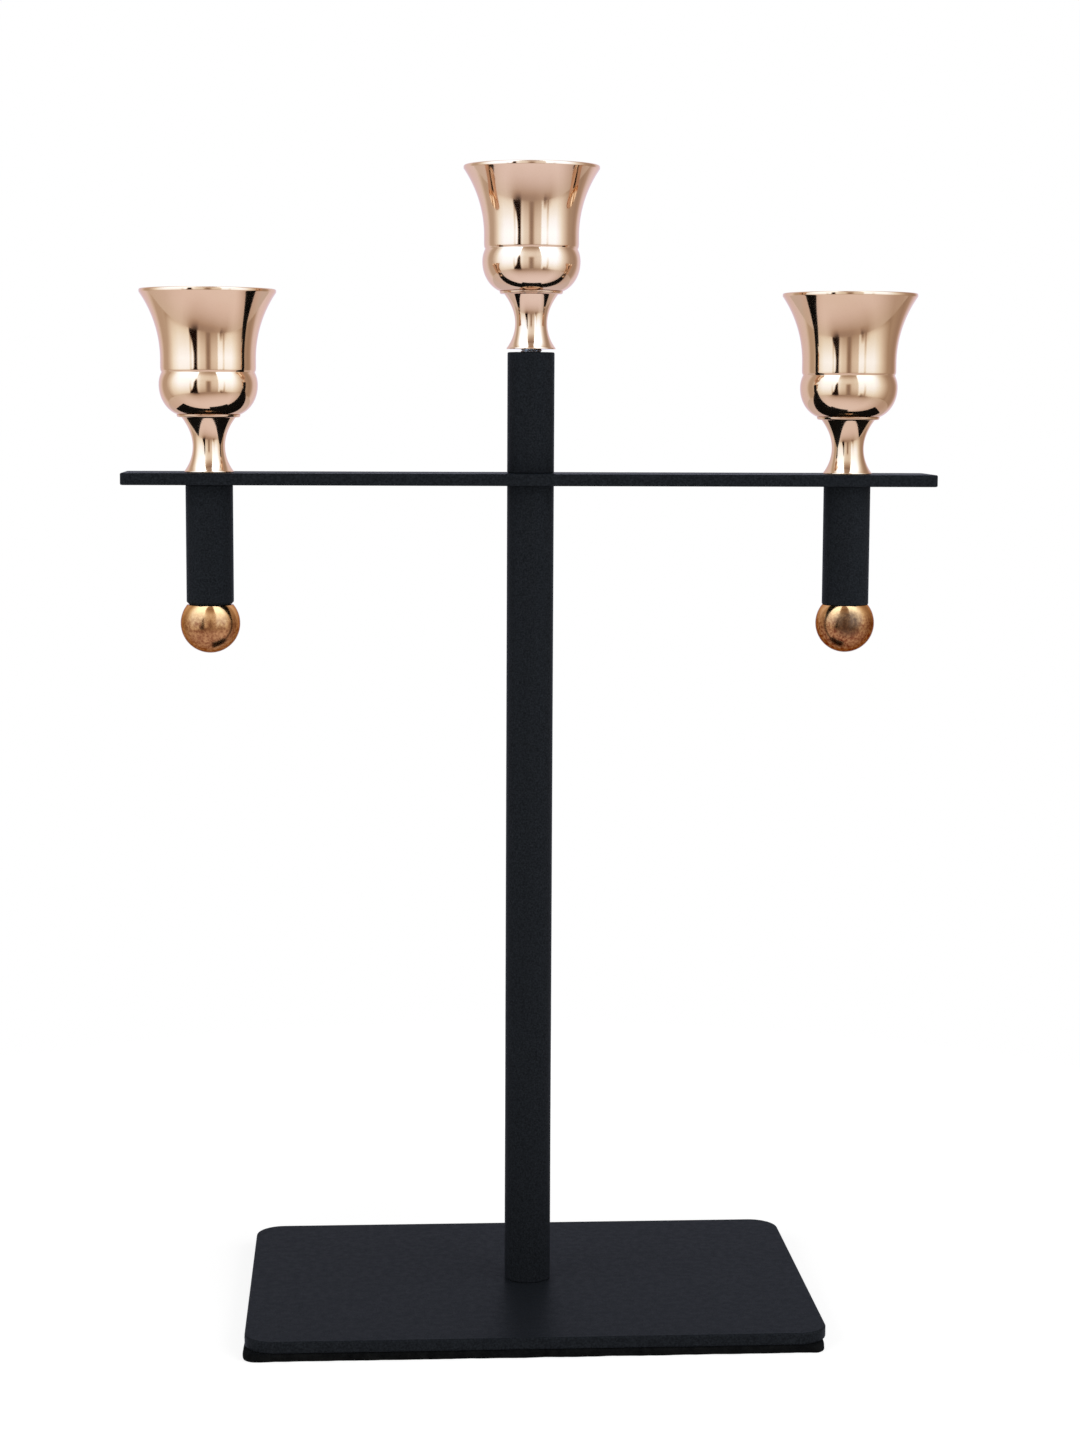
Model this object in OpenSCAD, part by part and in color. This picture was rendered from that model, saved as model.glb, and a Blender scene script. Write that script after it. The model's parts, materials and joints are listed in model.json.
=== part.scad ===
// Three-arm candle holder: a flat base on a soft pad, a tube post that clamps a flat cross bar,
// two drop tubes with ball ends under the bar, and three turned candle cups on spool necks.
// X runs along the cross bar, -Y faces the viewer, Z is up. The origin is on the floor,
// under the centre of the base. All lengths are in millimetres.

/* [Base] */
// Width of the base plate, left to right
base_w = 154; // [120:1:200]
// Depth of the base plate, front to back
base_d = 102; // [80:1:140]
// Thickness of the base plate
base_t = 3.2; // [3.2:0.1:6]
// Corner radius of the base plate, seen from above
base_corner = 8; // [2:0.5:20]
// Rounding of the base plate's top and bottom edges
base_edge = 0.5; // [0.2:0.1:1.4]
// Thickness of the soft pad under the plate
pad_t = 2.2; // [1.6:0.1:4]
// How far the pad's width falls short of the plate's, at each side
pad_inset = 0.3; // [0:0.1:2]
// How far the pad bulges past the plate, front and back
pad_bulge = 0.4; // [0:0.1:1]
// How far the glued pad sits off centre, to the left
pad_shift = 0.6; // [0:0.1:1]
// Corner radius of the pad
pad_corner = 3; // [1:0.5:20]
// Rounding of the pad's soft edges
pad_edge = 0.7; // [0.2:0.1:0.7]
// Radius of the hole in the pad that gives access to the base screw
pad_hole_r = 8; // [7:0.5:14]

/* [Tubes] */
// Outer diameter of the posts and drop tubes
tube_od = 12.7; // [11:0.1:16]
// Wall thickness of the tubes
tube_wall = 1.2; // [0.8:0.1:1.5]
// Rounding of the tube ends
tube_edge = 0.4; // [0.2:0.1:0.6]
// Length of the lower post
lower_post_len = 221; // [120:1:400]
// Length of the upper post
upper_post_len = 32.4; // [30:0.1:90]
// Length of each drop tube under the bar
drop_len = 32.4; // [30:0.1:60]

/* [Cross bar] */
// Length of the cross bar
bar_len = 219; // [200:1:320]
// Depth of the bar, front to back
bar_d = 22; // [18:0.5:30]
// Thickness of the bar
bar_t = 3.2; // [2:0.1:5]
// Corner radius of the bar, seen from above
bar_corner = 1.5; // [1:0.1:6]
// Rounding of the bar's long edges
bar_edge = 0.4; // [0.2:0.1:0.8]
// Distance from each end of the bar to its outer cup's axis
end_margin = 23; // [12:0.5:40]

/* [Candle bowls] */
// Largest radius of the bulge at the bottom of the bowl
bulge_r = 13.1; // [12.9:0.1:15]
// Section radius of the bulge
bulge_arc = 7.5; // [7:0.1:8]
// Height of the step where the bulge ends and the waist begins
shoulder_h = 12; // [11.5:0.1:13]
// Depth of the turned groove under the step
groove_depth = 0.3; // [0.1:0.05:0.5]
// Outer radius of the straight waist
waist_r = 12.5; // [12.3:0.1:12.8]
// Height of the straight waist
waist_h = 2.7; // [2:0.1:6]
// Height from the waist to the centre of the rounded lip
flare_h = 17.1; // [14:0.1:24]
// Outer radius of the lip
lip_r = 18; // [17:0.1:20]
// Section radius of the rounded lip
lip_round = 1; // [0.8:0.1:1.2]
// Radius of the candle socket
socket_r = 11.3; // [10.5:0.1:11.5]
// Thickness of the bowl's floor
floor_t = 1.8; // [1.5:0.1:2.5]

/* [Cup necks] */
// Height of the spool neck, from its foot to the bowl
neck_h = 15.85; // [15.5:0.05:20]
// Radius of the collar under the bowl
collar_r = 8.2; // [7.5:0.1:9]
// Thickness of the collar's rim
collar_t = 0.55; // [0.4:0.05:1]
// Radius of the neck's waist
neck_waist_r = 4.2; // [4:0.1:5]
// Height of the neck's waist
neck_waist_h = 7.1; // [6.5:0.1:8]
// Radius of the neck's foot
foot_r = 6.45; // [6.2:0.05:8]
// Height of the foot's straight edge
foot_edge = 0.3; // [0.2:0.05:0.6]
// Gap that the stud leaves between the centre cup's foot and the post
centre_gap = 0.8; // [0:0.1:1.5]

/* [Ball ends] */
// Diameter of the ball ends
ball_d = 16; // [14:0.5:20]
// Radius of the flat that seats against the drop tube
ball_flat_r = 6.2; // [5:0.1:6.6]

/* [Fasteners] */
// Diameter of the studs and of the base screw
stud_d = 6; // [5:0.5:6]
// Length of the tapped plug pressed into each tube end
plug_len = 14; // [12:0.5:14.5]
// Depth of the tapped hole in each plug
plug_tap = 10; // [8:0.5:11]
// Depth of the tapped hole in the foot of each neck
neck_tap = 8; // [6:0.5:8]
// Depth of the tapped hole in each ball
ball_tap = 8; // [6:0.5:9]
// Diameter of the screw that holds the bowl on its neck
bowl_screw_d = 4; // [3:0.5:4]
// Depth of the tapped hole in the top of each neck
bowl_tap = 6; // [5:0.5:6]
// Radius of the bowl screw's pan head
pan_head_r = 4; // [3.2:0.1:4.5]
// Height of the bowl screw's pan head
pan_head_h = 2.4; // [1.8:0.1:2.6]
// Radius of the base screw's countersunk head
csk_head_r = 5.8; // [5.2:0.1:5.9]
// Height of the straight rim of the countersunk head
csk_rim = 0.2; // [0.1:0.05:0.3]

/* [Clearances] */
// Radial gap of a pressed plug in its tube
press_gap = 0.02; // [0.01:0.01:0.05]
// Radial gap of a thread in its tapped hole
thread_gap = 0.05; // [0.02:0.01:0.1]
// Radial gap of a stud or screw in a plain hole
hole_gap = 0.3; // [0.2:0.05:0.5]
// Gap left past the end of a screw or stud
end_gap = 0.4; // [0.2:0.1:1]
// Gap between the countersunk head and its seat
seat_gap = 0.03; // [0.01:0.01:0.05]

/* [Hidden] */
$fn = 96;
// Bevel at the ends of studs, screws and plugs
end_bevel = 0.5;
// Cross recess of the screw heads
recess_w = 0.9;
recess_len = 4.4;
recess_depth = 1.2;
pan_round = 0.9;
// Spare length of a cutting shape past the face it opens
over = 1;

tube_r = tube_od / 2;
bore_r = tube_r - tube_wall;
stud_r = stud_d / 2;
bowl_screw_r = bowl_screw_d / 2;
ball_r = ball_d / 2;
pad_w = base_w - 2 * pad_inset;
pad_d = base_d + 2 * pad_bulge;
arm_reach = bar_len / 2 - end_margin;

// Heights of the seats, from the floor up
plate_z = pad_t;
post_z = plate_z + base_t;
bar_z = post_z + lower_post_len;
bar_top = bar_z + bar_t;
upper_top = bar_top + upper_post_len;
drop_end = bar_z - drop_len;
centre_seat = upper_top + centre_gap;
ball_z = drop_end - sqrt(ball_r * ball_r - ball_flat_r * ball_flat_r);

// The same stud carries all three cups. It bottoms in the neck, and over the post in the plug too
cup_stud_len = neck_tap + centre_gap + plug_tap;
crossing_stud_len = 2 * plug_tap + bar_t - end_gap;
ball_stud_len = plug_tap + ball_tap - end_gap;

// Bowl section: the bulge, the step, the waist, and arcs that touch the waist and the lip
bulge_mid_r = bulge_r - bulge_arc;
inner_corner = bulge_arc - floor_t;
groove_r = waist_r - groove_depth;
waist_top = shoulder_h + waist_h;
lip_mid_r = lip_r - lip_round;
lip_mid_h = waist_top + flare_h;
out_run = lip_mid_r - waist_r;
in_run = lip_mid_r - socket_r;
flare_out = (flare_h ^ 2 + out_run ^ 2 - lip_round ^ 2) / (2 * (out_run + lip_round));
flare_in = (flare_h ^ 2 + in_run ^ 2 - lip_round ^ 2) / (2 * (in_run - lip_round));

// Neck section: two arcs that meet at the neck's waist
neck_top_rise = neck_h - collar_t - neck_waist_h;
neck_top_run = collar_r - neck_waist_r;
neck_top_arc = (neck_top_run ^ 2 + neck_top_rise ^ 2) / (2 * neck_top_run);
neck_foot_rise = neck_waist_h - foot_edge;
neck_foot_run = foot_r - neck_waist_r;
neck_foot_arc = (neck_foot_run ^ 2 + neck_foot_rise ^ 2) / (2 * neck_foot_run);

// Finishes
coat = "#24272b";
soft = "#131414";
cup_metal = "#d9b294";
ball_metal = "#b5713f";
zinc = "#a9adb2";

// Section of a flat strip with rounded edges, centred on X and standing on Y = 0
module strip_section(w, t, edge) {
    translate([-w / 2 + edge, 0]) square([w - 2 * edge, t]);
    translate([-w / 2, edge]) square([w, t - 2 * edge]);
    for (x = [-w / 2 + edge, w / 2 - edge])
        for (y = [edge, t - edge])
            translate([x, y]) circle(r = edge);
}

// Flat slab with rounded corners and rounded edges, standing on Z = 0
module slab(w, d, t, corner, edge) {
    rotate([90, 0, 90]) linear_extrude(w - 2 * corner, center = true) strip_section(d, t, edge);
    rotate([90, 0, 0]) linear_extrude(d - 2 * corner, center = true) strip_section(w, t, edge);
    for (x = [-w / 2 + corner, w / 2 - corner])
        for (y = [-d / 2 + corner, d / 2 - corner])
            translate([x, y, 0]) rotate_extrude() intersection() {
                strip_section(2 * corner, t, edge);
                square([corner, t]);
            }
}

// Round bar from Z = 0 up, with a bevel at both ends
module bevelled_rod(r, len, bevel) {
    rotate_extrude() polygon([
        [0, 0], [r - bevel, 0], [r, bevel],
        [r, len - bevel], [r - bevel, len], [0, len]
    ]);
}

// Tube from Z = 0 up, with rounded outer edges at both ends
module tube(len) {
    rotate_extrude() {
        translate([bore_r, 0]) square([tube_wall - tube_edge, len]);
        translate([bore_r, tube_edge]) square([tube_wall, len - 2 * tube_edge]);
        for (y = [tube_edge, len - tube_edge])
            translate([tube_r - tube_edge, y]) circle(r = tube_edge);
    }
}

// Tapped plug with its open face at Z = 0, reaching up into a tube
module plug() {
    difference() {
        bevelled_rod(bore_r - press_gap, plug_len, end_bevel);
        translate([0, 0, -over]) cylinder(r = stud_r, h = plug_tap + over);
    }
}

// Plain stud standing for a threaded one, from Z = 0 up
module stud(len) {
    bevelled_rod(stud_r - thread_gap, len, end_bevel);
}

// Cross recess cut down from Z = 0
module cross_recess() {
    for (turn = [0, 90])
        rotate(turn) translate([-recess_len / 2, -recess_w / 2, -recess_depth])
            cube([recess_len, recess_w, recess_depth + over]);
}

// Neck with its foot on Z = 0: a turned spool, tapped at both ends
module neck() {
    difference() {
        rotate_extrude() difference() {
            union() {
                square([foot_r, neck_waist_h]);
                translate([0, neck_waist_h]) square([collar_r, neck_h - neck_waist_h]);
            }
            intersection() {
                translate([neck_waist_r + neck_top_arc, neck_waist_h]) circle(r = neck_top_arc, $fn = 240);
                translate([0, neck_waist_h]) square(2 * collar_r);
            }
            intersection() {
                translate([neck_waist_r + neck_foot_arc, neck_waist_h]) circle(r = neck_foot_arc, $fn = 240);
                square([2 * collar_r, neck_waist_h]);
            }
        }
        translate([0, 0, -over]) cylinder(r = stud_r, h = neck_tap + over);
        translate([0, 0, neck_h - bowl_tap]) cylinder(r = bowl_screw_r, h = bowl_tap + over);
    }
}

// Flared wall of the bowl: the space between two arcs, closed by the round lip
module flare_section() {
    out_mid = [waist_r + flare_out, waist_top];
    in_mid = [socket_r + flare_in, waist_top];
    lip_mid = [lip_mid_r, lip_mid_h];
    out_touch = lip_mid + lip_round * (out_mid - lip_mid) / norm(out_mid - lip_mid);
    in_touch = lip_mid + lip_round * (lip_mid - in_mid) / norm(lip_mid - in_mid);
    intersection() {
        difference() {
            translate(in_mid) circle(r = flare_in, $fn = 360);
            translate(out_mid) circle(r = flare_out, $fn = 360);
        }
        polygon([
            [0, waist_top], [0, in_touch[1]], in_touch, lip_mid, out_touch,
            [out_touch[0], waist_top]
        ]);
    }
    translate(lip_mid) circle(r = lip_round);
}

// Outline of the bulge, the groove and the waist, without the hollow
module cup_body_section() {
    square([bulge_mid_r, bulge_arc]);
    intersection() {
        translate([bulge_mid_r, bulge_arc]) circle(r = bulge_arc, $fn = 240);
        square([bulge_r, shoulder_h]);
    }
    square([groove_r, shoulder_h]);
    translate([0, shoulder_h]) square([waist_r, waist_h]);
}

// Hollow of the bowl up to the flare: the straight socket over a round-cornered floor
module socket_section() {
    translate([0, floor_t]) square([socket_r - inner_corner, waist_top]);
    translate([0, floor_t + inner_corner]) square([socket_r, waist_top]);
    translate([socket_r - inner_corner, floor_t + inner_corner]) circle(r = inner_corner, $fn = 240);
}

// Bowl with its bottom on Z = 0: one turned shell from the floor to the lip
module bowl() {
    rotate_extrude() {
        difference() {
            cup_body_section();
            socket_section();
            translate([0, -over]) square([bowl_screw_r + hole_gap, floor_t + 2 * over]);
        }
        flare_section();
    }
}

// Screw that holds the bowl on its neck, with the underside of its head at Z = 0
module bowl_screw() {
    shank = floor_t + bowl_tap - end_gap;
    translate([0, 0, -shank]) bevelled_rod(bowl_screw_r - thread_gap, shank + pan_round, end_bevel);
    difference() {
        rotate_extrude() {
            square([pan_head_r, pan_head_h - pan_round]);
            square([pan_head_r - pan_round, pan_head_h]);
            intersection() {
                translate([pan_head_r - pan_round, pan_head_h - pan_round]) circle(r = pan_round);
                square([pan_head_r, pan_head_h]);
            }
        }
        translate([0, 0, pan_head_h]) cross_recess();
    }
}

// Ball with its flat on Z = 0 and its body below, tapped from the flat
module ball() {
    difference() {
        translate([0, 0, ball_z - drop_end]) sphere(r = ball_r, $fn = 128);
        translate([0, 0, ball_r]) cube(2 * ball_r, center = true);
        translate([0, 0, -ball_tap]) cylinder(r = stud_r, h = ball_tap + over);
    }
}

module base_pad() {
    color(soft) translate([-pad_shift, 0, 0]) difference() {
        slab(pad_w, pad_d, pad_t, pad_corner, pad_edge);
        translate([pad_shift, 0, -over]) cylinder(r = pad_hole_r, h = pad_t + 2 * over);
    }
}

module base_plate() {
    seat_r = csk_head_r + csk_rim;
    hole_r = stud_r + hole_gap;
    color(coat) translate([0, 0, plate_z]) difference() {
        slab(base_w, base_d, base_t, base_corner, base_edge);
        translate([0, 0, -over]) cylinder(r = hole_r, h = base_t + 2 * over);
        cylinder(r1 = seat_r, r2 = hole_r, h = seat_r - hole_r);
    }
}

module base_screw() {
    shank_r = stud_r - thread_gap;
    head_r = csk_head_r - seat_gap;
    tip = base_t + plug_tap - end_gap;
    color(zinc) translate([0, 0, plate_z]) difference() {
        rotate_extrude() polygon([
            [0, 0], [head_r, 0], [head_r, csk_rim], [shank_r, csk_rim + head_r - shank_r],
            [shank_r, tip - end_bevel], [shank_r - end_bevel, tip], [0, tip]
        ]);
        mirror([0, 0, 1]) cross_recess();
    }
}

module lower_post() {
    color(coat) translate([0, 0, post_z]) tube(lower_post_len);
}

module lower_post_foot_plug() {
    color(zinc) translate([0, 0, post_z]) plug();
}

module lower_post_head_plug() {
    color(zinc) translate([0, 0, bar_z]) mirror([0, 0, 1]) plug();
}

module crossing_stud() {
    color(zinc) translate([0, 0, bar_z - plug_tap]) stud(crossing_stud_len);
}

module cross_bar() {
    color(coat) translate([0, 0, bar_z]) difference() {
        slab(bar_len, bar_d, bar_t, bar_corner, bar_edge);
        for (x = [-arm_reach, 0, arm_reach])
            translate([x, 0, -over]) cylinder(r = stud_r + hole_gap, h = bar_t + 2 * over);
    }
}

module upper_post() {
    color(coat) translate([0, 0, bar_top]) tube(upper_post_len);
}

module upper_post_foot_plug() {
    color(zinc) translate([0, 0, bar_top]) plug();
}

module upper_post_head_plug() {
    color(zinc) translate([0, 0, upper_top]) mirror([0, 0, 1]) plug();
}

// One cup piece on the seat at x, z
module cup_stud_at(x, z) {
    color(zinc) translate([x, 0, z + neck_tap - cup_stud_len]) stud(cup_stud_len);
}

module neck_at(x, z) {
    color(cup_metal) translate([x, 0, z]) neck();
}

module bowl_at(x, z) {
    color(cup_metal) translate([x, 0, z + neck_h]) bowl();
}

module bowl_screw_at(x, z) {
    color(zinc) translate([x, 0, z + neck_h + floor_t]) bowl_screw();
}

// One piece of the drop under the bar at x
module drop_tube_at(x) {
    color(coat) translate([x, 0, drop_end]) tube(drop_len);
}

module drop_head_plug_at(x) {
    color(zinc) translate([x, 0, bar_z]) mirror([0, 0, 1]) plug();
}

module drop_foot_plug_at(x) {
    color(zinc) translate([x, 0, drop_end]) plug();
}

module ball_stud_at(x) {
    color(zinc) translate([x, 0, drop_end - ball_tap]) stud(ball_stud_len);
}

module ball_at(x) {
    color(ball_metal) translate([x, 0, drop_end]) ball();
}

module centre_cup_stud() { cup_stud_at(0, centre_seat); }
module centre_neck() { neck_at(0, centre_seat); }
module centre_bowl() { bowl_at(0, centre_seat); }
module centre_bowl_screw() { bowl_screw_at(0, centre_seat); }

module left_drop_tube() { drop_tube_at(-arm_reach); }
module left_head_plug() { drop_head_plug_at(-arm_reach); }
module left_foot_plug() { drop_foot_plug_at(-arm_reach); }
module left_ball_stud() { ball_stud_at(-arm_reach); }
module left_ball() { ball_at(-arm_reach); }
module left_cup_stud() { cup_stud_at(-arm_reach, bar_top); }
module left_neck() { neck_at(-arm_reach, bar_top); }
module left_bowl() { bowl_at(-arm_reach, bar_top); }
module left_bowl_screw() { bowl_screw_at(-arm_reach, bar_top); }

module right_drop_tube() { drop_tube_at(arm_reach); }
module right_head_plug() { drop_head_plug_at(arm_reach); }
module right_foot_plug() { drop_foot_plug_at(arm_reach); }
module right_ball_stud() { ball_stud_at(arm_reach); }
module right_ball() { ball_at(arm_reach); }
module right_cup_stud() { cup_stud_at(arm_reach, bar_top); }
module right_neck() { neck_at(arm_reach, bar_top); }
module right_bowl() { bowl_at(arm_reach, bar_top); }
module right_bowl_screw() { bowl_screw_at(arm_reach, bar_top); }

base_pad();
base_plate();
base_screw();
lower_post();
lower_post_foot_plug();
lower_post_head_plug();
crossing_stud();
cross_bar();
upper_post();
upper_post_foot_plug();
upper_post_head_plug();
centre_cup_stud();
centre_neck();
centre_bowl();
centre_bowl_screw();
left_drop_tube();
left_head_plug();
left_foot_plug();
left_ball_stud();
left_ball();
left_cup_stud();
left_neck();
left_bowl();
left_bowl_screw();
right_drop_tube();
right_head_plug();
right_foot_plug();
right_ball_stud();
right_ball();
right_cup_stud();
right_neck();
right_bowl();
right_bowl_screw();
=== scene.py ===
"""Looks of the three-arm candle holder.

Blender's lengths are metres. The pieces' own sizes are written in millimetres, as in the
part's source, and every mesh is made in place, so its object stays at the origin.
"""

import json
import math

import bmesh
import bpy
from mathutils import Matrix, Vector, noise

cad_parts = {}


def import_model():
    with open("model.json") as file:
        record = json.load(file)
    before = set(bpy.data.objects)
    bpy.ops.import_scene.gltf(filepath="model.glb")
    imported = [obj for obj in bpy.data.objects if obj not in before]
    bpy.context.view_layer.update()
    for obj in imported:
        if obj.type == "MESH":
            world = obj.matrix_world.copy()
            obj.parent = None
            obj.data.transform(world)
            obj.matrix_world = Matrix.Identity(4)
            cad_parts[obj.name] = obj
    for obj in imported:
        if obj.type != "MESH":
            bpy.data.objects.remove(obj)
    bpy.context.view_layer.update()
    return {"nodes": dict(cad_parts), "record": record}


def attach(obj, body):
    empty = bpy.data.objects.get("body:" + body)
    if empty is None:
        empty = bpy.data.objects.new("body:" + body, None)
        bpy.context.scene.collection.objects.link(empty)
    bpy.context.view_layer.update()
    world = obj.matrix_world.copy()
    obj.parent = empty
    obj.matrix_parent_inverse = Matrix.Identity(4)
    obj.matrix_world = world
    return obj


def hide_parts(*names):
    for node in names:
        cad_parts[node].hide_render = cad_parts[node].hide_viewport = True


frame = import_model()

MM = 0.001
NODES = frame["nodes"]

# Sizes shared by the pieces, in millimetres, as in the part's source
ARM_REACH = 86.5
BAR_Z = 226.4
BAR_TOP = 229.6
DROP_END = 194.0
CENTRE_SEAT = 262.8
NECK_H = 15.85
STUD_DEPTH = 8.0
SIDES = {"left": -ARM_REACH, "centre": 0.0, "right": ARM_REACH}
SEATS = {"left": BAR_TOP, "centre": CENTRE_SEAT, "right": BAR_TOP}


# Section lines

def arc(mid, radius, start, end, steps):
    """Points along an arc about mid, from one angle to another, in degrees."""
    turns = [math.radians(start + (end - start) * i / steps) for i in range(steps + 1)]
    return [(mid[0] + radius * math.cos(t), mid[1] + radius * math.sin(t)) for t in turns]


def soften(points, size, steps=4, least_turn=20.0, closed=False):
    """Rounds the sharp corners of a section line, and keeps the flats beside them flat.

    A rounding takes no more than a share of each side. A guard point beside it, at a share of
    its size, keeps a long side flat.
    """
    side_share, guard_share, long_side = 0.4, 0.4, 3
    count = len(points)
    out = []
    for i, p in enumerate(points):
        if not closed and i in (0, count - 1):
            out.append(p)
            continue
        here = Vector(p)
        before, after = Vector(points[i - 1]) - here, Vector(points[(i + 1) % count]) - here
        turn = 180.0 - math.degrees(before.angle(after))
        if turn < least_turn:
            out.append(p)
            continue
        cut = min(size, side_share * before.length, side_share * after.length)
        first, last = here + before.normalized() * cut, here + after.normalized() * cut
        if before.length > long_side * cut:
            out.append(tuple(first + before.normalized() * cut * guard_share))
        for k in range(steps + 1):
            t = k / steps
            out.append(tuple(first * (1 - t) ** 2 + here * 2 * t * (1 - t) + last * t * t))
        if after.length > long_side * cut:
            out.append(tuple(last + after.normalized() * cut * guard_share))
    return out


def new_object(name, bm):
    """An object in the scene from a mesh in the making, with its faces turned outwards."""
    bmesh.ops.recalc_face_normals(bm, faces=bm.faces)
    mesh = bpy.data.meshes.new(name)
    bm.to_mesh(mesh)
    bm.free()
    obj = bpy.data.objects.new(name, mesh)
    bpy.context.scene.collection.objects.link(obj)
    return obj


def skin(bm, rings):
    """Faces between each ring of points and the next. A ring may be a single point."""
    for low, high in zip(rings, rings[1:]):
        count = max(len(low), len(high))
        for k in range(count):
            n = (k + 1) % count
            if len(low) == 1:
                bm.faces.new((low[0], high[n], high[k]))
            elif len(high) == 1:
                bm.faces.new((low[k], low[n], high[0]))
            else:
                bm.faces.new((low[k], low[n], high[n], high[k]))


def revolve(name, profile, x, z, segments=192, closed=False):
    """Turns a section line, in (radius, height), about the upright axis at x."""
    on_axis = 1e-6
    bm = bmesh.new()
    rings = []
    for radius, height in profile:
        if radius < on_axis:
            rings.append([bm.verts.new((x * MM, 0.0, (z + height) * MM))])
            continue
        ring = []
        for k in range(segments):
            turn = 2 * math.pi * k / segments
            ring.append(bm.verts.new(((x + radius * math.cos(turn)) * MM,
                                      radius * math.sin(turn) * MM,
                                      (z + height) * MM)))
        rings.append(ring)
    skin(bm, rings)
    if closed:
        skin(bm, (rings[-1], rings[0]))
    return new_object(name, bm)


def dress(obj, material, slot, *nodes, crease=40.0):
    """Smooths a piece, gives it its finish and puts it in the place of its CAD nodes."""
    for face in obj.data.polygons:
        face.use_smooth = True
    obj.data.set_sharp_from_angle(angle=math.radians(crease))
    obj.data.materials.append(material)
    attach(obj, "root")
    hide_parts(*nodes)
    return obj


# Materials

class Nodes:
    """A material's node tree, with short calls for the nodes that are used here."""

    def __init__(self, name):
        self.material = bpy.data.materials.new(name)
        self.material.use_nodes = True
        self.tree = self.material.node_tree
        self.place = self.node("ShaderNodeTexCoord").outputs["Object"]

    def node(self, kind, **settings):
        made = self.tree.nodes.new(kind)
        for key, value in settings.items():
            setattr(made, key, value)
        return made

    def link(self, output, socket):
        self.tree.links.new(output, socket)

    def feed(self, socket, value):
        """Links an output to a socket, or sets the socket to a number or colour."""
        if isinstance(value, tuple):
            socket.default_value = (*value, 1.0)
        elif isinstance(value, float):
            socket.default_value = value
        else:
            self.link(value, socket)

    def noise(self, scale, detail=3.0, rough=0.5, stretch=None):
        made = self.node("ShaderNodeTexNoise")
        made.inputs["Scale"].default_value = scale
        made.inputs["Detail"].default_value = detail
        made.inputs["Roughness"].default_value = rough
        source = self.place
        if stretch:
            mapping = self.node("ShaderNodeMapping")
            mapping.inputs["Scale"].default_value = stretch
            self.link(source, mapping.inputs["Vector"])
            source = mapping.outputs["Vector"]
        self.link(source, made.inputs["Vector"])
        return made.outputs["Fac"]

    def cells(self, scale):
        made = self.node("ShaderNodeTexVoronoi")
        made.inputs["Scale"].default_value = scale
        self.link(self.place, made.inputs["Vector"])
        return made

    def ramp(self, source, *stops):
        """Colours or greys at places from 0 to 1."""
        made = self.node("ShaderNodeValToRGB")
        elements = made.color_ramp.elements
        while len(elements) < len(stops):
            elements.new(0.5)
        for element, (place, value) in zip(elements, stops):
            element.position = place
            color = (value, value, value) if isinstance(value, float) else value
            element.color = (*color, 1.0)
        self.link(source, made.inputs["Fac"])
        return made.outputs["Color"]

    def mix(self, share, low, high, blend="MIX"):
        made = self.node("ShaderNodeMix", data_type="RGBA", blend_type=blend)
        for name, value in (("Factor", share), ("A", low), ("B", high)):
            self.feed(made.inputs[name], value)
        return made.outputs["Result"]

    def math(self, operation, first, second, clamp=False):
        made = self.node("ShaderNodeMath", operation=operation, use_clamp=clamp)
        self.feed(made.inputs[0], first)
        self.feed(made.inputs[1], second)
        return made.outputs["Value"]

    def times(self, first, *others):
        """The product of all that is given."""
        for other in others:
            first = self.math("MULTIPLY", first, other)
        return first

    def rest(self, value):
        """What is left of 1 after a value."""
        return self.math("SUBTRACT", 1.0, value)

    def dust(self, base, pale, scale, size, rarity):
        """A few pale specks on a base colour, in the middle of the rarest cells."""
        spots = self.cells(scale)
        speck = self.math("LESS_THAN", spots.outputs["Distance"], size)
        rare = self.math("GREATER_THAN", spots.outputs["Color"], rarity)
        return self.mix(self.times(speck, rare), base, pale)

    def near(self, spot_mm, reach_mm):
        """1 at a spot on the object, and 0 beyond a distance from it."""
        made = self.node("ShaderNodeVectorMath", operation="DISTANCE")
        self.link(self.place, made.inputs[0])
        made.inputs[1].default_value = [value * MM for value in spot_mm]
        away = self.math("DIVIDE", made.outputs["Value"], reach_mm * MM)
        return self.ramp(away, (0.5, 1.0), (1.0, 0.0))

    def split(self):
        """The place on the object as X, Y and Z, in metres."""
        made = self.node("ShaderNodeSeparateXYZ")
        self.link(self.place, made.inputs["Vector"])
        return made.outputs

    def turn(self):
        """Direction about the upright axis, from 0 to 1, with 0.5 straight in front."""
        quarter = self.node("ShaderNodeMapping")
        quarter.inputs["Rotation"].default_value = (0.0, 0.0, math.pi / 2)
        self.link(self.place, quarter.inputs["Vector"])
        made = self.node("ShaderNodeTexGradient", gradient_type="RADIAL")
        self.link(quarter.outputs["Vector"], made.inputs["Vector"])
        return made.outputs["Fac"]

    def rays(self, *kinds):
        """1 for the kinds of ray that are named, and 0 for the others."""
        path = self.node("ShaderNodeLightPath")
        found = path.outputs[f"Is {kinds[0]} Ray"]
        for kind in kinds[1:]:
            found = self.math("MAXIMUM", found, path.outputs[f"Is {kind} Ray"])
        return found

    def glow(self, color):
        made = self.node("ShaderNodeEmission")
        self.feed(made.inputs["Color"], color)
        return made.outputs["Emission"]

    def surface(self, output):
        self.link(output, self.tree.nodes["Material Output"].inputs["Surface"])


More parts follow.
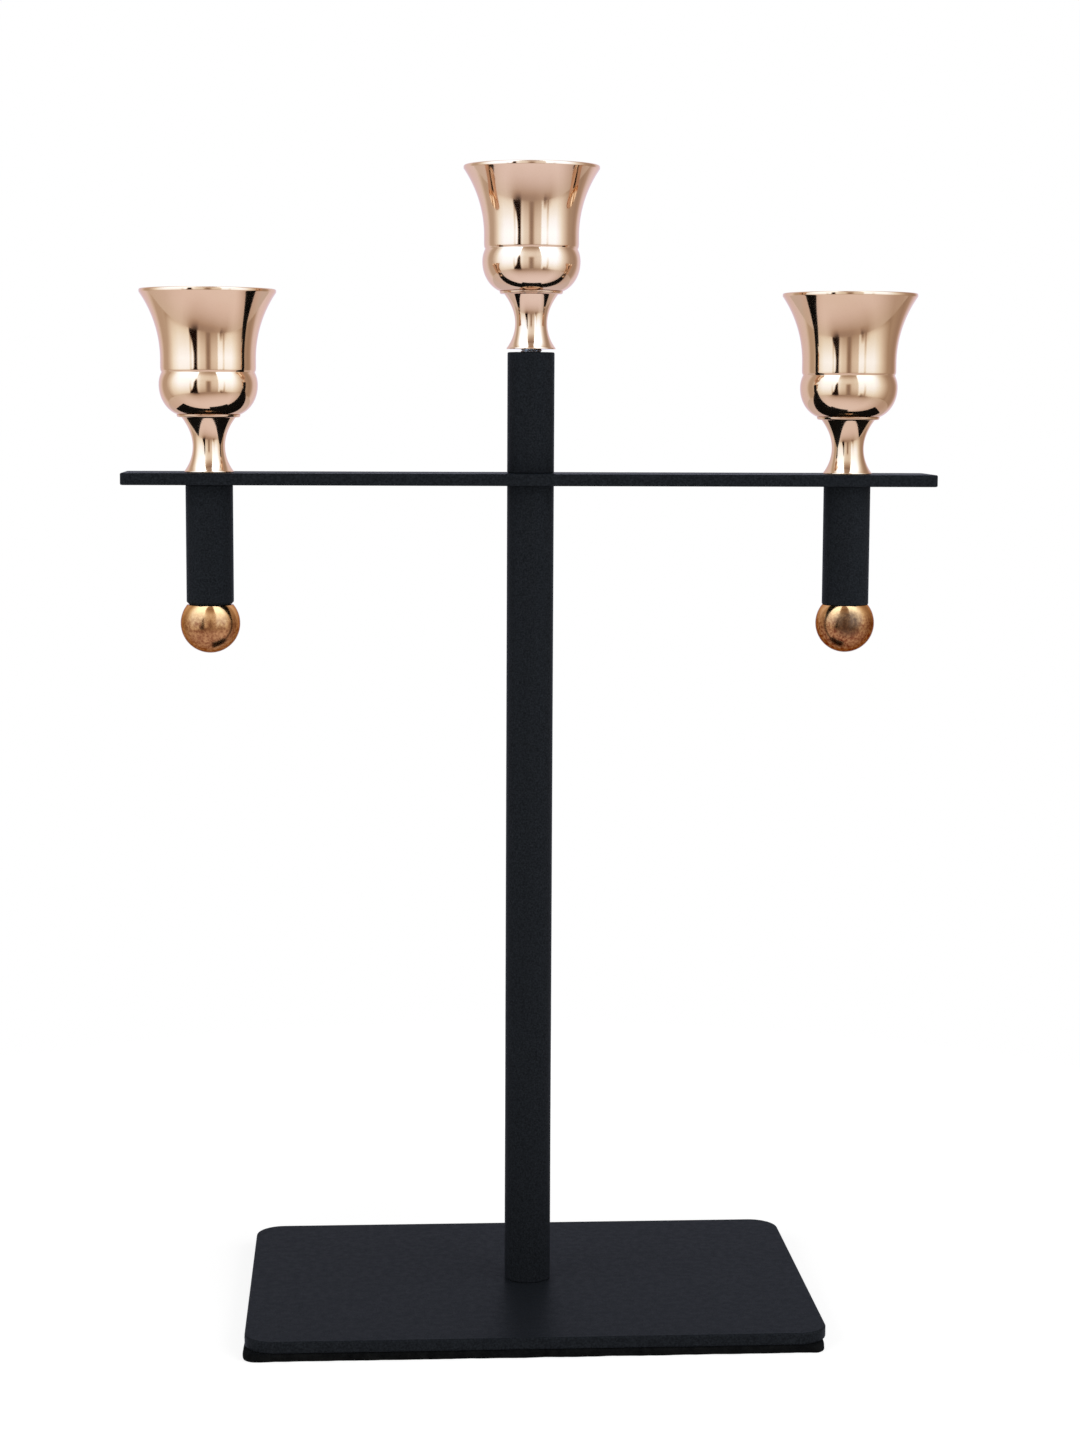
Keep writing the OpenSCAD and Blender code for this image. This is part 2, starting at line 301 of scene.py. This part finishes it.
class Finish(Nodes):
    """The finish of a piece: a node tree about one Principled shader."""

    def __init__(self, name):
        super().__init__(name)
        self.shader = self.tree.nodes["Principled BSDF"]

    def set(self, **values):
        for name, value in values.items():
            self.shader.inputs[name.replace("_", " ")].default_value = value

    def color(self, output):
        self.link(output, self.shader.inputs["Base Color"])

    def roughness(self, output):
        self.link(output, self.shader.inputs["Roughness"])

    def bump(self, height, strength, depth_mm):
        made = self.node("ShaderNodeBump")
        made.inputs["Strength"].default_value = strength
        made.inputs["Distance"].default_value = depth_mm * MM
        self.link(height, made.inputs["Height"])
        self.link(made.outputs["Normal"], self.shader.inputs["Normal"])


def powder_coat():
    """Black powder coat: fine grain over a faint orange peel, with a few pale specks of dust."""
    peel_share = 0.4
    f = Finish("powder_coat")
    grain = f.noise(2400.0, 3.0, 0.6)
    peel = f.noise(520.0, 2.0)
    base = f.ramp(grain, (0.34, (0.0065, 0.0074, 0.0088)), (0.68, (0.0175, 0.0199, 0.0238)))
    f.color(f.dust(base, (0.10, 0.10, 0.11), scale=210.0, size=0.055, rarity=0.965))
    f.roughness(f.ramp(peel, (0.35, 0.40), (0.65, 0.48)))
    f.set(Specular_IOR_Level=0.010)
    f.bump(f.math("ADD", grain, f.times(peel, peel_share)), 0.35, 0.04)
    return f.material


def pad_foam():
    """Soft black foam: open pores, matt, with pale dust caught on it."""
    f = Finish("pad_foam")
    pores = f.cells(1500.0)
    lumps = f.noise(500.0, 3.0, 0.6)
    base = f.ramp(lumps, (0.3, (0.0019, 0.0019, 0.0019)), (0.75, (0.0067, 0.0069, 0.0067)))
    f.color(f.dust(base, (0.12, 0.12, 0.12), scale=260.0, size=0.09, rarity=0.93))
    f.set(Roughness=0.92, Specular_IOR_Level=0.03)
    f.bump(f.math("ADD", pores.outputs["Distance"], lumps), 0.8, 0.25)
    return f.material


def rose_gold():
    """Polished rose gold plate, with faint turning marks and a little haze from handling.

    The outer cups are coloured a little darker and yellower than the centre cup.
    """
    span = 0.2
    f = Finish("rose_gold")
    turning = f.noise(1.0, 2.0, 0.5, stretch=(9.0, 9.0, 2600.0))
    haze = f.noise(90.0, 3.0, 0.6)
    gold = f.ramp(haze, (0.3, (0.725, 0.505, 0.335)), (0.7, (0.755, 0.535, 0.365)))
    across = f.math("ADD", f.math("DIVIDE", f.split()["X"], span), 0.5)
    # The outer cups darker and yellower than the centre cup, by their place across the object
    outer_cup_tint = f.ramp(across, (0.2, (0.99, 0.96, 0.91)), (0.4, (1.0, 1.0, 1.0)),
                     (0.6, (1.0, 1.0, 1.0)), (0.8, (0.95, 0.92, 0.86)))
    f.color(f.mix(1.0, gold, outer_cup_tint, "MULTIPLY"))
    f.roughness(f.ramp(haze, (0.35, 0.06), (0.75, 0.10)))
    f.set(Metallic=1.0, Specular_Tint=(0.93, 0.80, 0.78, 1.0))
    f.bump(turning, 0.012, 0.0015)
    return f.material


def aged_copper():
    """Copper balls, bright near the tube and darker brown below from tarnish and painted shade, with
    one darker patch in front: tarnish with a painted reflection of the camera.
    """
    fade_h = 14.0
    # The spot where the right ball mirrors the camera
    patch, patch_reach = (86.0, -7.9, 189.4), 4.6
    f = Finish("aged_copper")
    cloud = f.noise(210.0, 5.0, 0.65)
    freckle = f.noise(1300.0, 3.0, 0.6)
    spread = f.times(f.ramp(cloud, (0.36, 0.80), (0.60, 1.0)),
                     f.ramp(freckle, (0.38, 0.60), (0.60, 1.0)))
    tarnish_and_camera_reflection = f.times(f.near(patch, patch_reach), f.ramp(freckle, (0.35, 0.75), (0.60, 1.0)))
    place = f.split()
    height = f.math("DIVIDE", f.math("SUBTRACT", place["Z"], (DROP_END - fade_h) * MM), fade_h * MM)
    # Darker towards the bottom of each ball: partly tarnish, partly painted shade
    age_and_low_shade = f.math("ADD", f.ramp(height, (0.45, 0.92), (0.66, 0.86), (0.80, 0.50), (0.92, 0.20)),
                 f.ramp(place["X"], (0.0, 0.0), (0.05, 0.1)))
    tarnish_and_shade = f.times(spread, age_and_low_shade)
    copper = f.mix(tarnish_and_shade, (0.80, 0.44, 0.180), (0.185, 0.041, 0.0145))
    # Darker colour there: partly tarnish, partly a painted reflection of the camera
    f.color(f.mix(tarnish_and_camera_reflection, copper, (0.12, 0.060, 0.031)))
    f.roughness(f.ramp(tarnish_and_shade, (0.1, 0.10), (0.9, 0.24)))
    f.set(Metallic=1.0, Specular_Tint=(0.52, 0.36, 0.32, 1.0))
    f.bump(freckle, 0.15, 0.02)
    return f.material


def zinc_steel():
    """Zinc-plated steel of the studs, screws and plugs."""
    f = Finish("zinc_steel")
    grain = f.noise(600.0, 3.0)
    f.color(f.ramp(grain, (0.35, (0.56, 0.58, 0.60)), (0.7, (0.70, 0.71, 0.72))))
    f.roughness(f.ramp(grain, (0.35, 0.24), (0.7, 0.38)))
    f.set(Metallic=1.0)
    f.bump(grain, 0.1, 0.01)
    return f.material


MAKERS = (powder_coat, pad_foam, rose_gold, aged_copper, zinc_steel)
FINISHES = {make.__name__: make() for make in MAKERS}


def finish_nodes():
    """Gives each CAD node the finish that its slot names."""
    for entry in frame["record"]["subparts"]:
        node = NODES[entry["node"]]
        material = FINISHES[entry["material_slot"]]
        if not node.material_slots:
            node.data.materials.append(material)
        for slot in node.material_slots:
            slot.material = material


# Cups

# Heights are from the bowl's seat on its neck
WAIST_R, WAIST_TOP, SHOULDER_H = 12.75, 14.3, 12.0
BULGE_MID, BULGE_ARC = (5.7, 7.5), 7.5
BULGE_DROP, BULGE_FULL = 8.5, 2.05
LIP_MID, LIP_ROUND, LIP_RISE = (17.9, 32.05), 0.35, 0.4
SEAM_DROP = 0.35
SOCKET_R, FLOOR_T, FLOOR_HOLE_R = 11.3, 1.8, 2.3


def flare_mid(radius, side):
    """Centre and radius of the arc that rises from a wall and touches the round lip."""
    run, rise = LIP_MID[0] - radius, LIP_MID[1] - WAIST_TOP
    size = (run ** 2 + rise ** 2 - LIP_ROUND ** 2) / (2 * (run + side * LIP_ROUND))
    return (radius + size, WAIST_TOP), size


def underside(steps=40):
    """The bulge below its widest point: fuller than a circle, and cut off at the seam."""
    line = []
    for i in range(steps + 1):
        share = (1 - (i / steps) ** 2) * (BULGE_MID[1] + SEAM_DROP) / BULGE_DROP
        reach = (1 - share ** BULGE_FULL) ** (1 / BULGE_FULL)
        line.append((BULGE_MID[0] + BULGE_ARC * reach, BULGE_MID[1] - BULGE_DROP * share))
    return line


def bowl_profile():
    """The bowl from the hole in its floor, up the outside, over the lip and down the inside."""
    groove_turn, ring_in, ring_h = 26.0, 0.06, 11.3
    lip_top = (LIP_MID[0], LIP_MID[1] + LIP_RISE)
    out_mid, out_size = flare_mid(WAIST_R, 1)
    in_mid, in_size = flare_mid(SOCKET_R, -1)
    rise = LIP_MID[1] - WAIST_TOP
    out_turn = math.degrees(math.atan2(rise, out_mid[0] - LIP_MID[0]))
    in_turn = math.degrees(math.atan2(rise, in_mid[0] - LIP_MID[0]))
    line = [(FLOOR_HOLE_R, -SEAM_DROP)] + underside()
    line += arc(BULGE_MID, BULGE_ARC, 0, groove_turn, 16)[1:]
    line += [(WAIST_R - ring_in, ring_h), (WAIST_R, SHOULDER_H)]
    line = soften(line + [(WAIST_R, WAIST_TOP)], 0.12, 4)
    line += arc(out_mid, out_size, 180, 180 - out_turn, 56)[1:]
    line += arc(LIP_MID, LIP_ROUND, -out_turn, 0, 8)[1:] + arc(lip_top, LIP_ROUND, 0, 180, 20)
    line += arc(in_mid, in_size, 180 - in_turn, 180, 40)
    line += arc(BULGE_MID, BULGE_ARC - FLOOR_T, 0, -90, 24)
    return line + [(FLOOR_HOLE_R, FLOOR_T)]


def neck_profile():
    """The spool neck with its two tapped holes."""
    waist_r, waist_h = 4.32, 6.95
    foot_r, foot_edge = 6.6, 0.3
    top, rim_h = NECK_H - SEAM_DROP, 0.85
    rim = [(8.1, top - rim_h), (8.4, top - 0.68), (8.55, top - 0.14), (8.4, top)]
    flare, flare_h, flare_steps = 20.3, top - rim_h - waist_h, 34
    stud_r, screw_r, screw_depth = 3.0, 2.0, 6.0
    foot_rise, foot_run = waist_h - foot_edge, foot_r - waist_r
    foot_arc = (foot_run ** 2 + foot_rise ** 2) / (2 * foot_run)
    foot_turn = math.degrees(math.asin(foot_rise / foot_arc))
    line = [(0.0, STUD_DEPTH), (stud_r, STUD_DEPTH), (stud_r, 0.0), (foot_r, 0.0)]
    line += arc((waist_r + foot_arc, waist_h), foot_arc, 180 + foot_turn, 180, 30)
    rises = [flare_h * (k + 1) / flare_steps for k in range(flare_steps)]
    line += [(waist_r + rise ** 2 / flare, waist_h + rise) for rise in rises]
    line += rim + [(screw_r, top)]
    line += [(screw_r, top - screw_depth), (0.0, top - screw_depth)]
    return soften(line, 0.12, 5)


def cups():
    """Three bowls on their necks. The outer two stand on the bar, and the middle one on the post."""
    bowl, neck = bowl_profile(), neck_profile()
    for side, x in SIDES.items():
        seat = SEATS[side]
        dress(revolve("bowl_" + side, bowl, x, seat + NECK_H, closed=True),
              FINISHES["rose_gold"], "rose_gold", side + "_bowl", crease=60)
        dress(revolve("neck_" + side, neck, x, seat),
              FINISHES["rose_gold"], "rose_gold", side + "_neck", crease=60)


def threaded_stud():
    """The stud that shows between the centre cup and the post, with its 6 mm thread."""
    crest, depth, pitch, length = 2.95, 0.45, 1.0, 18.8
    low, high = CENTRE_SEAT + STUD_DEPTH - length, CENTRE_SEAT + STUD_DEPTH
    slope, root = 1.25, 0.12
    sides, per_turn = 64, 12
    rows = int((high - low) / pitch * per_turn)
    bm = bmesh.new()
    rings = []
    for j in range(rows + 1):
        z = low + (high - low) * j / rows
        ring = []
        for k in range(sides):
            share = k / sides
            wave = abs(((z - low) / pitch - share) % 1.0 * 2 - 1)
            radius = crest - depth * min(1.0, max(0.0, wave * slope - root))
            turn = 2 * math.pi * share
            ring.append(bm.verts.new((radius * math.cos(turn) * MM, radius * math.sin(turn) * MM,
                                      z * MM)))
        rings.append(ring)
    skin(bm, rings)
    bm.faces.new(rings[0])
    bm.faces.new(rings[-1])
    dress(new_object("stud_centre", bm), FINISHES["zinc_steel"], "zinc_steel",
          "centre_cup_stud", crease=50)


# Balls and drop tubes

def balls():
    """Two balls with a flat and a tapped hole on top."""
    radius, flat_r, tap_r, tap = 8.0, 6.2, 3.0, 8.0
    drop = math.sqrt(radius ** 2 - flat_r ** 2)
    top = math.degrees(math.asin(drop / radius))
    line = arc((0.0, -drop), radius, -90, top, 72)
    line[0] = (0.0, line[0][1])
    line = soften(line + [(tap_r, 0.0), (tap_r, -tap), (0.0, -tap)], 0.15, 3)
    for side in ("left", "right"):
        dress(revolve("ball_" + side, line, SIDES[side], DROP_END),
              FINISHES["aged_copper"], "aged_copper", side + "_ball")


def left_drop_tube():
    """The left drop tube, whose lower end has the larger chamfer that the photograph shows."""
    outer, bore, length = 6.35, 5.15, BAR_Z - DROP_END
    chamfer, rounding = 0.8, 0.4
    line = [(bore, 0.0), (outer - chamfer, 0.0), (outer, chamfer)]
    line += [(outer, length - rounding), (outer - rounding, length), (bore, length)]
    dress(revolve("tube_left", soften(line, 0.15, 4, closed=True), SIDES["left"], DROP_END,
                  segments=128, closed=True),
          FINISHES["powder_coat"], "powder_coat", "left_drop_tube")


# Soft pad

def rounded_outline(width, depth, corner, spacing):
    """Points round a rounded rectangle, each with the direction that faces outwards."""
    points = []
    for turn in range(4):
        side = (depth if turn % 2 == 0 else width) - 2 * corner
        half = Vector((width / 2 - corner, depth / 2 - corner))
        mid = [Vector((half.x, half.y)), Vector((-half.x, half.y)),
               Vector((-half.x, -half.y)), Vector((half.x, -half.y))][turn]
        start = turn * math.pi / 2
        facing = Vector((math.cos(start), math.sin(start)))
        along = Vector((-facing.y, facing.x))
        steps = max(2, round(side / spacing))
        foot = mid + facing * corner - along * side
        for k in range(steps):
            points.append((foot + along * side * k / steps, facing))
        turns = max(3, round(corner * math.pi / 2 / spacing) + 2)
        for k in range(turns):
            angle = start + math.pi / 2 * k / turns
            out = Vector((math.cos(angle), math.sin(angle)))
            points.append((mid + out * corner, out))
    return points


def pad_rims(thick):
    """Inset and height of each level of the pad's edge: rounded, with a slight swell between."""
    edge, swell, levels = 0.55, 0.12, 14
    rims = []
    for level in range(levels + 1):
        lift = level / levels * 2 - 1
        past_flat = max(0.0, (abs(lift) * thick / 2 - (thick / 2 - edge)) / edge)
        round_in = 1 - math.sqrt(max(0.0, 1 - past_flat ** 2))
        rims.append((edge * round_in - swell * (1 - lift * lift), thick * (lift + 1) / 2))
    return rims


def pad():
    """Foam pad under the plate, with a lumpy cut edge and a hole for the base screw."""
    width, depth, thick = 153.4, 102.8, 2.2
    shift, corner, hole_r = -0.6, 3.0, 8.0
    room, spacing = 0.4, 0.8
    lump, lump_size, grain, grain_size = 0.26, 4.5, 0.10, 1.3
    outline = rounded_outline(width - room, depth - room, corner, spacing)
    bm = bmesh.new()
    rings = []
    for inset, height in pad_rims(thick):
        ring = []
        for point, out in outline:
            spot = Vector((point.x, point.y, height))
            rough = lump * noise.noise(spot / lump_size) + grain * noise.noise(spot / grain_size)
            place = point + out * (rough - inset)
            ring.append(bm.verts.new(((place.x + shift) * MM, place.y * MM, height * MM)))
        rings.append(ring)
    skin(bm, rings)
    holes = []
    for ring, height in ((rings[0], 0.0), (rings[-1], thick)):
        hole = []
        for vert in ring:
            out = Vector((vert.co.x, vert.co.y)).normalized() * hole_r * MM
            hole.append(bm.verts.new((out.x, out.y, height * MM)))
        skin(bm, (ring, hole))
        holes.append(hole)
    skin(bm, holes[::-1])
    obj = dress(new_object("pad", bm), FINISHES["pad_foam"], "pad_foam", "base_pad", crease=60)


# Studio, in metres and radians

CAMERA = Vector((-0.0453, -0.7471, 0.2503))
CAMERA_YAW, CAMERA_PITCH, CAMERA_ROLL = 0.06440, 0.11702, 0.0047
CAMERA_SIDE = math.degrees(math.atan2(CAMERA.x, -CAMERA.y))
FOCAL_PX, LONG_SIDE_PX = 2755.6, 1440
FLOOR_R = 0.62
TENT_R, TENT_FOOT, TENT_TOP = 0.70, -0.10, 1.50

# The brightest level of light in the tent, and its tints behind the object
PEAK = 3.0
FLOOR_TINT, TENT_TINT = (0.97, 1.02, 1.08), (1.02, 1.0, 1.14)

# Angles and depths of the fold that runs over the floor and up the tent
FOLD = ((27, 0.0), (29.5, 2.4), (33, 1.9), (37, 1.2), (42, 0.9), (46, 0.3), (50, 0.0))


def camera():
    """The camera at the photograph's angle, with its long side as the sensor's."""
    data = bpy.data.cameras.new("camera")
    data.sensor_width = 36.0
    data.lens = FOCAL_PX / LONG_SIDE_PX * data.sensor_width
    data.clip_start, data.clip_end = 0.01, 20.0
    obj = bpy.data.objects.new("camera", data)
    yaw = Matrix.Rotation(-CAMERA_YAW, 4, "Z")
    pitch = Matrix.Rotation(math.pi / 2 - CAMERA_PITCH, 4, "X")
    roll = Matrix.Rotation(CAMERA_ROLL, 4, "Z")
    obj.matrix_world = Matrix.Translation(CAMERA) @ yaw @ pitch @ roll
    bpy.context.scene.collection.objects.link(obj)
    bpy.context.scene.camera = obj


def world():
    """White backdrop, with a lower plain level of light from all round."""
    light_level = 0.2
    made = bpy.data.worlds.new("studio")
    made.use_nodes = True
    tree = made.node_tree
    back = tree.nodes["Background"]
    back.inputs["Color"].default_value = (1.0, 1.0, 1.0, 1.0)
    path = tree.nodes.new("ShaderNodeLightPath")
    level = None
    for kind in ("Camera", "Glossy", "Transmission"):
        higher = tree.nodes.new("ShaderNodeMath")
        higher.operation = "MAXIMUM"
        higher.inputs[0].default_value = light_level
        if level:
            tree.links.new(level, higher.inputs[0])
        tree.links.new(path.outputs[f"Is {kind} Ray"], higher.inputs[1])
        level = higher.outputs["Value"]
    tree.links.new(level, back.inputs["Strength"])
    bpy.context.scene.world = made


def place_of(angle):
    """Place from 0 to 1 of an angle to the right of the camera, in degrees."""
    return 0.5 + (angle + CAMERA_SIDE) / 360.0


def around(*stops):
    """Stops of a ramp, from angles to the right of the camera and levels of light."""
    return [(place_of(angle), level / PEAK) for angle, level in stops]


def upwards(*stops):
    """Stops of a ramp over the tent's height, from heights in metres."""
    return [((z - TENT_FOOT) / (TENT_TOP - TENT_FOOT), level) for z, level in stops]


def outwards(*stops):
    """Stops of a ramp over the floor, from distances from its middle in metres."""
    return [(reach / FLOOR_R, level) for reach, level in stops]


def bare_nodes(name):
    """A node tree for the stage, without the usual shader."""
    f = Nodes(name)
    f.tree.nodes.remove(f.tree.nodes["Principled BSDF"])
    return f


def light(f, level, turn, tint_behind):
    """A light's colour from its share of PEAK: brown if dim, blue if bright, tinted behind."""
    front = f.ramp(level, (0.0, (0.012, 0.006, 0.005)), (0.1, (0.37, 0.30, 0.28)),
                   (0.16, (0.55, 0.48, 0.44)), (0.25, (0.76, 0.75, 0.77)),
                   (0.32, (0.92, 0.96, 1.04)), (0.417, (1.09, 1.25, 1.42)),
                   (0.52, (1.25, 1.56, 2.00)), (0.6, (1.36, 1.80, 2.55)),
                   (1.0, (2.20, 3.00, 4.20)))
    behind = f.ramp(turn, *around((-180, PEAK), (-132, PEAK), (-120, 0.0), (125, 0.0),
                                  (138, PEAK), (180, PEAK)))
    return f.mix(1.0, front, f.mix(behind, (1.0, 1.0, 1.0), tint_behind), "MULTIPLY")


def floor_gloss(f, turn, reach):
    """The floor as gloss shows it: darker in front, and at the tent's gap and fold."""
    sides = f.ramp(turn, *around((-180, 0.78), (-115, 0.74), (-90, 0.80), (-72, 0.95), (-60, 1.0),
                                 (60, 1.02), (72, 0.92), (84, 0.76), (96, 0.58), (110, 0.56),
                                 (130, 0.69), (180, 0.78)))
    sector = f.ramp(turn, *around((-95, 0.0), (-75, 0.3), (-60, 0.6), (-50, 1.3), (-42, 2.1),
                                  (-34, 2.7), (-20, 3.0), (8, 2.9), (24, 2.5), (44, 2.2),
                                  (52, 1.6), (62, 1.0), (75, 0.6), (90, 0.3), (105, 0.0)))
    depth = f.ramp(reach, *outwards((0.10, 0.0), (0.18, 0.03), (0.26, 0.12), (0.34, 0.26),
                                    (0.41, 0.41), (0.50, 0.60), (0.58, 0.64), (0.61, 0.58)))
    gap = f.times(f.ramp(turn, *around((-50, 0.0), (-46, 0.35), (-42, 0.9), (-38, 1.7), (-34, 2.4),
                                       (-30, 2.65), (-27, 2.6), (-25, 1.6), (-22.5, 0.0))),
                  f.ramp(reach, *outwards((0.42, 0.0), (0.50, 0.3), (0.57, 0.85), (0.61, 1.0))))
    fold = f.times(f.ramp(turn, *around(*FOLD)),
                   f.ramp(reach, *outwards((0.46, 0.0), (0.52, 0.35), (0.58, 0.9), (0.61, 1.0))))
    level = f.math("SUBTRACT", sides, f.times(sides, sector, depth))
    level = f.times(level, f.rest(gap), f.rest(fold))
    blush = f.ramp(reach, *outwards((0.30, (1.04, 1.0, 1.10)), (0.60, (1.0, 1.0, 1.03))))
    return f.mix(1.0, light(f, level, turn, FLOOR_TINT), blush, "MULTIPLY")


def floor():
    """Round pale floor that keeps a soft shadow and turns into the white backdrop."""
    pale, segments = 0.95, 96
    bm = bmesh.new()
    bmesh.ops.create_circle(bm, cap_ends=True, segments=segments, radius=FLOOR_R)
    obj = new_object("floor", bm)
    f = bare_nodes("floor")
    length = f.node("ShaderNodeVectorMath", operation="LENGTH")
    f.link(f.place, length.inputs[0])
    reach = f.math("DIVIDE", length.outputs["Value"], FLOOR_R)
    shine = f.rays("Glossy", "Transmission")
    white = f.ramp(reach, *outwards((0.20, (1.3, 1.3, 1.3)), (0.34, (1.0, 1.0, 1.0))))
    glow = f.glow(f.mix(shine, white, floor_gloss(f, f.turn(), reach)))
    diffuse = f.node("ShaderNodeBsdfDiffuse")
    diffuse.inputs["Color"].default_value = (pale, pale, pale, 1.0)
    backdrop = f.ramp(reach, *outwards((0.10, 0.62), (0.30, 1.0)))
    share = f.times(f.math("MAXIMUM", backdrop, shine), f.rays("Camera", "Glossy", "Transmission"))
    blend = f.node("ShaderNodeMixShader")
    for socket, output in zip(blend.inputs, (share, diffuse.outputs["BSDF"], glow)):
        f.link(output, socket)
    f.surface(blend.outputs["Shader"])
    obj.data.materials.append(f.material)


def slot(f, turn, height, soft, left, right):
    """1 inside an upright slot in the tent, from its edges' heights and angles.

    Each edge fades over soft degrees.
    """
    shares = []
    for edge, way in ((left, 1.0), (right, -1.0)):
        line = f.ramp(height, *[(place, place_of(angle)) for place, angle in upwards(*edge)])
        past = f.math("SUBTRACT", turn, line)
        shares.append(f.math("MULTIPLY", past, way * 360.0 / soft, clamp=True))
    return f.times(*shares)


def tent_front(f, turn, height):
    """The dimmer front of the tent, with the darker mark of the camera on its stand."""
    front = f.ramp(turn, *around(
        (-27, 1.6), (-22, 1.45), (-19, 1.30), (-16, 1.2), (-10, 1.1), (0, 1.05), (10, 1.0),
        (16, 1.1), (20, 1.08), (23.5, 1.3)))
    fall = f.ramp(height, *upwards(
        (-0.09, 0.36), (0.0, 0.54), (0.11, 0.75), (0.21, 0.90), (0.31, 1.0), (0.41, 1.0),
        (0.54, 1.07), (0.69, 1.0), (0.83, 0.72), (1.01, 0.47), (1.25, 0.30), (1.41, 0.26),
        (1.49, 0.38)))
    mark = f.times(f.ramp(turn, *around((-8.5, 0.0), (-6.5, 0.6), (-4, 1.65), (-1.5, 2.1),
                                        (1.5, 2.1), (4, 1.65), (6.5, 0.6), (8.5, 0.0))),
                   f.ramp(height, *upwards((-0.09, 0.5), (0.0, 0.73), (0.11, 0.92), (0.21, 1.0),
                                           (0.36, 1.0), (0.40, 0.75), (0.44, 0.27), (0.48, 0.07),
                                           (0.54, 0.0))))
    return f.times(front, fall, f.rest(mark))


def tent_walls(f, turn, height):
    """The tent's two long windows and its dull sides and back."""
    windows = f.ramp(turn, *around(
        (-112, 0.0), (-102, 1.03), (-96, 1.32), (-90, 1.78), (-84, 2.3), (-78, 2.55),
        (-68, 2.9), (-58, 2.95), (60, 2.95), (72, 2.38), (78, 1.95), (84, 1.55), (90, 1.2),
        (96, 0.9), (102, 0.7), (112, 0.4), (122, 0.0)))
    fall = f.ramp(height, *upwards(
        (-0.09, 0.20), (-0.04, 0.31), (0.01, 0.42), (0.11, 0.51), (0.21, 0.59), (0.31, 0.65),
        (0.41, 0.68), (0.54, 0.74), (0.69, 0.82), (1.0, 1.0)))
    sides = f.ramp(turn, *around(
        (-180, 0.90), (-135, 0.95), (-127, 0.93), (-122, 0.78), (-117, 0.58), (-108, 0.57),
        (-100, 0.61), (-90, 0.45), (-80, 0.0), (80, 0.0), (92, 0.37), (102, 0.46), (120, 0.38),
        (130, 0.49), (137, 0.80), (145, 0.98), (180, 0.95)))
    return f.math("MAXIMUM", f.times(windows, fall), sides)


def tent_seams(f, turn, height):
    """What the tent's gap, seams and fold leave of its light."""
    gap_soft, seam_soft = 2.6, 2.5
    gap = slot(f, turn, height, gap_soft,
               ((-0.09, -46), (-0.05, -45), (0.01, -44.5), (0.063, -41), (0.115, -38),
                (0.216, -35), (0.36, -33.6), (0.413, -32.4), (0.50, -30.4), (0.54, -29.2),
                (0.58, -28)),
               ((-0.09, -22.8), (0.01, -23.3), (0.115, -23.6), (0.216, -24), (0.36, -24.2),
                (0.413, -24.6), (0.50, -26), (0.54, -27), (0.58, -27.9)))
    seam_mids, half_seam, foot, top = (-40.5, 38.5), 3.5, 0.0, 1.0
    seams = []
    for mid in seam_mids:
        left = ((foot, mid - half_seam), (top, mid - half_seam))
        right = ((foot, mid + half_seam), (top, mid + half_seam))
        seams.append(slot(f, turn, height, seam_soft, left, right))
    fade = f.ramp(height, *upwards((-0.09, 0.8), (0.01, 0.62), (0.115, 0.42), (0.216, 0.24),
                                   (0.36, 0.12), (0.50, 0.0)))
    fold = f.times(f.ramp(turn, *around(*FOLD)),
                   f.ramp(height, *upwards((-0.01, 1.0), (0.04, 0.55), (0.08, 0.0))))
    seam = f.math("MAXIMUM", f.times(fade, f.math("ADD", *seams)), fold)
    return f.times(f.rest(gap), f.rest(seam))


def tent():
    """Light tent that only shows in gloss: two long windows, a dimmer front and dull sides."""
    front_from, front_to = -27, 23.4
    obj = revolve("tent", [(TENT_R / MM, TENT_FOOT / MM), (TENT_R / MM, TENT_TOP / MM),
                           (0.0, TENT_TOP / MM)], 0.0, 0.0)
    f = bare_nodes("tent")
    turn = f.turn()
    height = f.math("DIVIDE", f.math("SUBTRACT", f.split()["Z"], TENT_FOOT), TENT_TOP - TENT_FOOT)
    in_front = f.times(f.math("GREATER_THAN", turn, place_of(front_from)),
                       f.math("LESS_THAN", turn, place_of(front_to)))
    level = f.mix(in_front, tent_walls(f, turn, height), tent_front(f, turn, height))
    level = f.times(level, tent_seams(f, turn, height))
    f.surface(f.glow(light(f, level, turn, TENT_TINT)))
    obj.data.materials.append(f.material)
    obj.visible_camera = obj.visible_diffuse = obj.visible_shadow = False
    obj.visible_transmission = obj.visible_volume_scatter = False


def softbox(name, near, far):
    """Upright panel light between two floor points. It faces the object and isn't seen."""
    low, high, radiance = 0.04, 0.66, 2.2
    near, far = Vector((*near, 0.0)), Vector((*far, 0.0))
    mid = (near + far) / 2 + Vector((0.0, 0.0, (low + high) / 2))
    data = bpy.data.lights.new(name, "AREA")
    data.shape = "RECTANGLE"
    data.size, data.size_y = (far - near).length, high - low
    data.energy = radiance * math.pi * data.size * data.size_y
    x, y = (far - near).normalized(), Vector((0.0, 0.0, 1.0))
    z = x.cross(y)
    if z.dot(mid) < 0:
        x.negate()
        z.negate()
    obj = bpy.data.objects.new(name, data)
    obj.matrix_world = Matrix.Translation(mid) @ Matrix((x, y, z)).transposed().to_4x4()
    obj.visible_camera = obj.visible_glossy = False
    bpy.context.scene.collection.objects.link(obj)


def studio():
    """Two lamps beside the camera, and the tent that gloss shows."""
    softbox("softbox_left", (-0.42, -0.72), (-0.62, 0.0))
    softbox("softbox_right", (0.27, -0.74), (0.62, 0.04))
    tent()


camera()
finish_nodes()
cups()
threaded_stud()
balls()
left_drop_tube()
pad()
world()
floor()
studio()

bpy.context.scene.view_settings.view_transform = "Standard"
